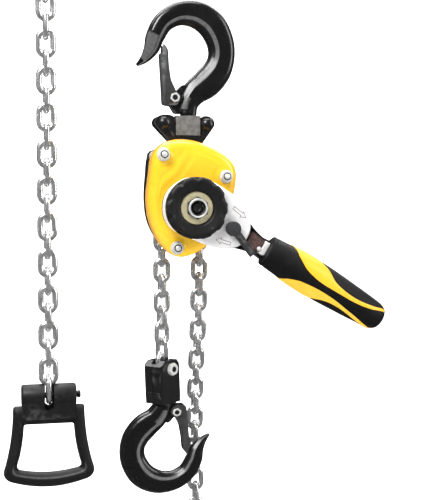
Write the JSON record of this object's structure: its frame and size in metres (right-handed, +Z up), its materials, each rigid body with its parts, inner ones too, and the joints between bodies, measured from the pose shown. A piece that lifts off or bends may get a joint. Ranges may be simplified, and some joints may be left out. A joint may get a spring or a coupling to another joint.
{
  "type": "lever chain hoist",
  "caption": "Hand lever chain hoist with swivel safety hooks, a ratchet lever, a hand wheel and a free chain that ends in a pull ring.",
  "frame": {"origin": "the saddle of the top hook, where it bears on what the hoist hangs from, in the chain plane", "axes": "+Z up, against the pull of the load; +Y from the lever side to the gear side; +X to the right seen from the lever side"},
  "size_m": [0.3016, 0.1234, 0.4982],
  "materials": {
    "black_paint": "gloss black enamel",
    "forged_black": "gloss black enamel over a forging",
    "yellow_paint": "satin powder coat",
    "zinc_plate": "bright zinc",
    "chain_steel": "bright galvanised chain",
    "chrome": "polished, lightly brushed",
    "machined_steel": "machined, oiled",
    "dark_steel": "satin dark steel",
    "brass": "pale yellow passivated plate",
    "grip_rubber": "matte moulded rubber",
    "grip_yellow": "moulded yellow inlay",
    "black_plastic": "moulded, fine texture",
    "brown_neck": "dark brown oxide",
    "brake_lining": "pressed fibre"
  },
  "bodies": {
    "frame": {"suspension_pin": "machined_steel", "front_side_plate": "black_paint", "rear_side_plate": "black_paint", "front_bearing": "brass", "rear_bearing": "brass", "brake_cover": "yellow_paint", "gear_cover": "black_paint", "stay_bolt_top": "zinc_plate", "stay_bolt_right": "zinc_plate", "stay_bolt_bottom": "zinc_plate", "stay_nut_top": "zinc_plate", "stay_nut_right": "zinc_plate", "stay_nut_bottom": "zinc_plate", "pawl_pin_upper": "machined_steel", "pawl_pin_lower": "machined_steel", "chain_stripper": "dark_steel", "chain_over_sheave": "chain_steel", "tail_chain": "chain_steel"},
    "yoke": {"yoke_front_plate": "black_paint", "yoke_rear_plate": "black_paint", "yoke_block": "dark_steel", "yoke_rivet_left": "black_paint", "yoke_rivet_right": "black_paint"},
    "top_hook": {"top_hook": "forged_black", "top_latch_pin": "zinc_plate"},
    "top_latch": {"top_latch": "dark_steel"},
    "sheave": {"load_sheave": "machined_steel", "load_gear": "machined_steel"},
    "disc_gear_upper": {"disc_gear_upper": "machined_steel"},
    "disc_gear_lower": {"disc_gear_lower": "machined_steel"},
    "drive": {"drive_shaft": "machined_steel", "brake_hub": "machined_steel", "friction_disc_rear": "brake_lining", "ratchet_disc": "machined_steel", "friction_disc_front": "brake_lining", "lever_ratchet": "machined_steel", "hand_wheel": "black_plastic", "wheel_washer": "brass", "wheel_nut": "dark_steel"},
    "brake_pawl_upper": {"brake_pawl_upper": "machined_steel"},
    "brake_pawl_lower": {"brake_pawl_lower": "machined_steel"},
    "lever": {"lever_inner_casing": "black_paint", "lever_outer_casing": "chrome", "lever_neck": "brown_neck", "lever_bar": "chrome", "lever_grip": "grip_rubber"},
    "selector": {"selector": "black_plastic", "selector_pawl": "machined_steel"},
    "load_chain": {"load_chain": "chain_steel"},
    "load_block": {"block_front_half": "black_paint", "block_rear_half": "black_paint", "block_bolt": "black_paint", "block_nut": "zinc_plate"},
    "load_hook": {"load_hook": "forged_black", "load_latch_pin": "zinc_plate"},
    "load_latch": {"load_latch": "dark_steel"},
    "end_ring": {"end_ring": "black_plastic", "end_ring_pin": "black_paint"}
  },
  "joints": [
    {"name": "yoke_tilt", "type": "hinge", "parent": "frame", "child": "yoke", "pos_m": [0.001, 0, -0.0975], "axis": [0, 1, 0], "range_deg": [-15, 15]},
    {"name": "top_hook_swivel", "type": "hinge", "parent": "yoke", "child": "top_hook", "pos_m": [0.001, 0, -0.07], "axis": [0, 0, 1], "continuous": true},
    {"name": "top_latch_open", "type": "hinge", "parent": "top_hook", "child": "top_latch", "pos_m": [-0.0088, 0, -0.0543], "axis": [0, 1, 0], "range_deg": [0, 28], "stiffness_Nm_per_rad": 0.05, "springref_deg": -17.19},
    {"name": "sheave_turn", "type": "hinge", "parent": "frame", "child": "sheave", "pos_m": [-0.0035, 0, -0.1365], "axis": [0, 1, 0], "range_deg": [-90, 90], "deforming": ["chain_over_sheave"]},
    {"name": "hand_wheel_turn", "type": "hinge", "parent": "frame", "child": "drive", "pos_m": [-0.0035, 0, -0.1365], "axis": [0, 1, 0], "range_deg": [-284, 284]},
    {"name": "disc_gear_upper_turn", "type": "hinge", "parent": "frame", "child": "disc_gear_upper", "pos_m": [-0.00966, 0, -0.11959], "axis": [0, 1, 0], "range_deg": [-142, 142]},
    {"name": "disc_gear_lower_turn", "type": "hinge", "parent": "frame", "child": "disc_gear_lower", "pos_m": [0.00266, 0, -0.15341], "axis": [0, 1, 0], "range_deg": [-142, 142]},
    {"name": "brake_pawl_upper_turn", "type": "hinge", "parent": "frame", "child": "brake_pawl_upper", "pos_m": [-0.024, 0, -0.118], "axis": [0, 1, 0], "range_deg": [0, 12], "stiffness_Nm_per_rad": 0.01, "springref_deg": -17.19},
    {"name": "brake_pawl_lower_turn", "type": "hinge", "parent": "frame", "child": "brake_pawl_lower", "pos_m": [0.0065, 0, -0.158], "axis": [0, 1, 0], "range_deg": [0, 12], "stiffness_Nm_per_rad": 0.01, "springref_deg": -17.19},
    {"name": "lever_turn", "type": "hinge", "parent": "frame", "child": "lever", "pos_m": [-0.0035, 0, -0.1365], "axis": [0, 1, 0], "continuous": true},
    {"name": "selector_turn", "type": "hinge", "parent": "lever", "child": "selector", "pos_m": [0.02369, 0, -0.15144], "axis": [0, 1, 0], "range_deg": [-20, 20]},
    {"name": "load_lift", "type": "slide", "parent": "frame", "child": "load_chain", "axis": [0, 0, 1], "range_m": [-0.0242, 0.0242], "deforming": ["load_chain"]},
    {"name": "block_swing", "type": "hinge", "parent": "load_chain", "child": "load_block", "pos_m": [-0.01799, 0, -0.2593], "axis": [-0.6153, 0.788, -0.0215], "range_deg": [-4, 12]},
    {"name": "load_hook_swivel", "type": "hinge", "parent": "load_block", "child": "load_hook", "pos_m": [-0.01729, 0, -0.27929], "axis": [-0.0349, 0, 0.9994], "range_deg": [-120, 5]},
    {"name": "load_latch_open", "type": "hinge", "parent": "load_hook", "child": "load_latch", "pos_m": [-0.00771, 0, -0.29251], "axis": [0, 1, 0], "range_deg": [0, 28], "stiffness_Nm_per_rad": 0.05, "springref_deg": -17.19},
    {"name": "end_ring_swing", "type": "hinge", "parent": "frame", "child": "end_ring", "pos_m": [-0.1095, -0.087, -0.2601], "axis": [1, 0, 0], "range_deg": [-60, 60]}
  ],
  "couplings": [
    {"joint": "load_lift", "follows": "sheave_turn", "m_per_rad": 0.015279},
    {"joint": "hand_wheel_turn", "follows": "sheave_turn", "ratio": 3.1429},
    {"joint": "disc_gear_upper_turn", "follows": "sheave_turn", "ratio": -1.5714},
    {"joint": "disc_gear_lower_turn", "follows": "sheave_turn", "ratio": -1.5714}
  ]
}
